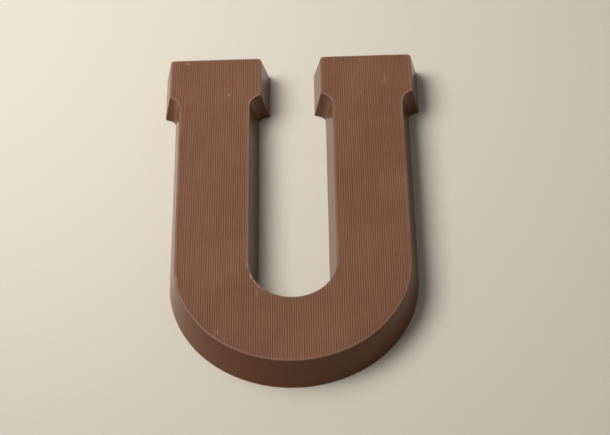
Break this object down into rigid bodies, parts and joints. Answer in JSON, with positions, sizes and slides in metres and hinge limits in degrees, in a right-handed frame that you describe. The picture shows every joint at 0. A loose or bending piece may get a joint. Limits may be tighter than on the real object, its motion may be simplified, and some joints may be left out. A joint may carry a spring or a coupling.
{
  "type": "chocolate letter",
  "caption": "Flat moulded milk chocolate letter U, with fine ribs along its face, sloping side walls, and serifs with hollow brackets under them.",
  "frame": {"origin": "on the flat back, in the middle of the letter's footprint", "axes": "+X across the letter, to the right as it is read; +Y along the stems, towards the serifs; +Z out of the ribbed face"},
  "size_m": [0.1082, 0.162, 0.0144],
  "materials": {
    "milk_chocolate": "milk chocolate: satin ribbed face, smoother and glossier side walls, dull back"
  },
  "bodies": {
    "root": {"chocolate_letter": "milk_chocolate"}
  },
  "joints": []
}
